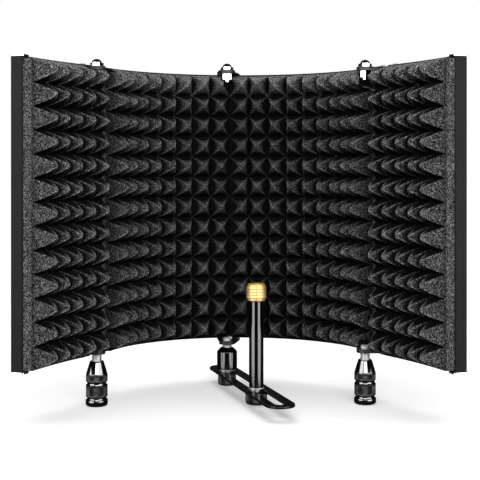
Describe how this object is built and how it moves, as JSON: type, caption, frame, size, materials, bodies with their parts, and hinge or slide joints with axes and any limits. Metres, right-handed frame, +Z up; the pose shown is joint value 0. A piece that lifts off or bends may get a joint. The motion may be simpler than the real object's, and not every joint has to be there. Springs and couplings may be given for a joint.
{
  "type": "microphone isolation shield",
  "caption": "Folding tabletop shield of curved panels faced with pyramid foam, hinged on round feet, with a slotted bracket holding a microphone post and brass adapter.",
  "frame": {"origin": "on the floor under the centre hinge's axis, at the centre foot's base", "axes": "+Z up; the shield opens towards -Y; +X to the right seen from the open side"},
  "size_m": [0.4424, 0.2334, 0.3669],
  "materials": {
    "acoustic_foam": "matte",
    "absorber_mat": "matte",
    "dark_frame": "satin",
    "black_sheet": "satin",
    "black_steel": "satin",
    "polished_steel": "polished",
    "chrome_hardware": "polished",
    "bright_steel": "satin",
    "gloss_black": "gloss",
    "brass": "satin"
  },
  "bodies": {
    "inner_left": {"inner_left_foam": "acoustic_foam", "inner_left_absorber": "absorber_mat", "inner_left_rails": "dark_frame", "inner_left_stiles": "dark_frame", "inner_left_back_sheet": "black_sheet", "inner_left_ears": "black_steel", "inner_left_ear_screws": "black_steel", "left_cap_nut": "chrome_hardware", "left_hinge_screw": "chrome_hardware", "left_under_nut": "chrome_hardware", "left_foot_stud": "bright_steel", "centre_cap_nut": "chrome_hardware", "centre_hinge_screw": "chrome_hardware", "centre_under_nut": "chrome_hardware", "centre_foot_stud": "bright_steel", "centre_foot": "gloss_black"},
    "outer_left": {"outer_left_foam": "acoustic_foam", "outer_left_absorber": "absorber_mat", "outer_left_rails": "dark_frame", "outer_left_stiles": "dark_frame", "outer_left_back_sheet": "black_sheet", "outer_left_ears": "black_steel", "outer_left_ear_screws": "black_steel", "outer_left_end_caps": "polished_steel"},
    "inner_right": {"inner_right_foam": "acoustic_foam", "inner_right_absorber": "absorber_mat", "inner_right_rails": "dark_frame", "inner_right_stiles": "dark_frame", "inner_right_back_sheet": "black_sheet", "inner_right_ears": "black_steel", "inner_right_ear_screws": "black_steel", "right_cap_nut": "chrome_hardware", "right_hinge_screw": "chrome_hardware", "right_under_nut": "chrome_hardware", "right_foot_stud": "bright_steel"},
    "outer_right": {"outer_right_foam": "acoustic_foam", "outer_right_absorber": "absorber_mat", "outer_right_rails": "dark_frame", "outer_right_stiles": "dark_frame", "outer_right_back_sheet": "black_sheet", "outer_right_ears": "black_steel", "outer_right_ear_screws": "black_steel", "outer_right_end_caps": "polished_steel"},
    "left_foot": {"left_foot": "gloss_black"},
    "right_foot": {"right_foot": "gloss_black"},
    "bracket_nut": {"bracket_nut": "gloss_black"},
    "bracket_washer": {"bracket_washer": "bright_steel"},
    "bracket": {"slotted_bracket": "gloss_black"},
    "post": {"mic_post": "gloss_black", "post_washer": "bright_steel", "post_spigot": "bright_steel"},
    "clamp_knob": {"clamp_knob": "gloss_black", "knob_screw": "bright_steel"},
    "thread_adapter": {"thread_adapter": "brass"}
  },
  "joints": [
    {"name": "left_hinge", "type": "hinge", "parent": "inner_left", "child": "outer_left", "pos_m": [-0.1345, -0.1071, 0.2], "axis": [0, 0, 1], "range_deg": [-8, 70]},
    {"name": "centre_hinge", "type": "hinge", "parent": "inner_left", "child": "inner_right", "pos_m": [0, 0, 0.2], "axis": [0, 0, -1], "range_deg": [0, 25]},
    {"name": "right_hinge", "type": "hinge", "parent": "inner_right", "child": "outer_right", "pos_m": [0.1462, -0.0982, 0.2], "axis": [0, 0, -1], "range_deg": [-8, 70]},
    {"name": "left_foot_turn", "type": "hinge", "parent": "inner_left", "child": "left_foot", "pos_m": [-0.1345, -0.1071, 0], "axis": [0, 0, 1], "continuous": true},
    {"name": "right_foot_turn", "type": "hinge", "parent": "inner_right", "child": "right_foot", "pos_m": [0.1462, -0.0982, 0], "axis": [0, 0, 1], "continuous": true},
    {"name": "bracket_nut_turn", "type": "hinge", "parent": "inner_left", "child": "bracket_nut", "pos_m": [0, 0, 0], "axis": [0, 0, 1], "continuous": true},
    {"name": "bracket_swivel", "type": "hinge", "parent": "inner_left", "child": "bracket_washer", "pos_m": [0, 0, 0.0145], "axis": [0, 0, -1], "range_deg": [-20, 50]},
    {"name": "bracket_slide", "type": "slide", "parent": "bracket_washer", "child": "bracket", "axis": [-0.294, 0.9558, 0], "range_m": [-0.016, 0.06]},
    {"name": "post_slide", "type": "slide", "parent": "bracket", "child": "post", "axis": [0.294, -0.9558, 0], "range_m": [-0.02, 0.07]},
    {"name": "clamp_knob_turn", "type": "hinge", "parent": "post", "child": "clamp_knob", "pos_m": [0.03182, -0.10342, 0.008], "axis": [0, 0, 1], "continuous": true},
    {"name": "adapter_turn", "type": "hinge", "parent": "post", "child": "thread_adapter", "pos_m": [0.03182, -0.10342, 0.118], "axis": [0, 0, 1], "continuous": true}
  ]
}
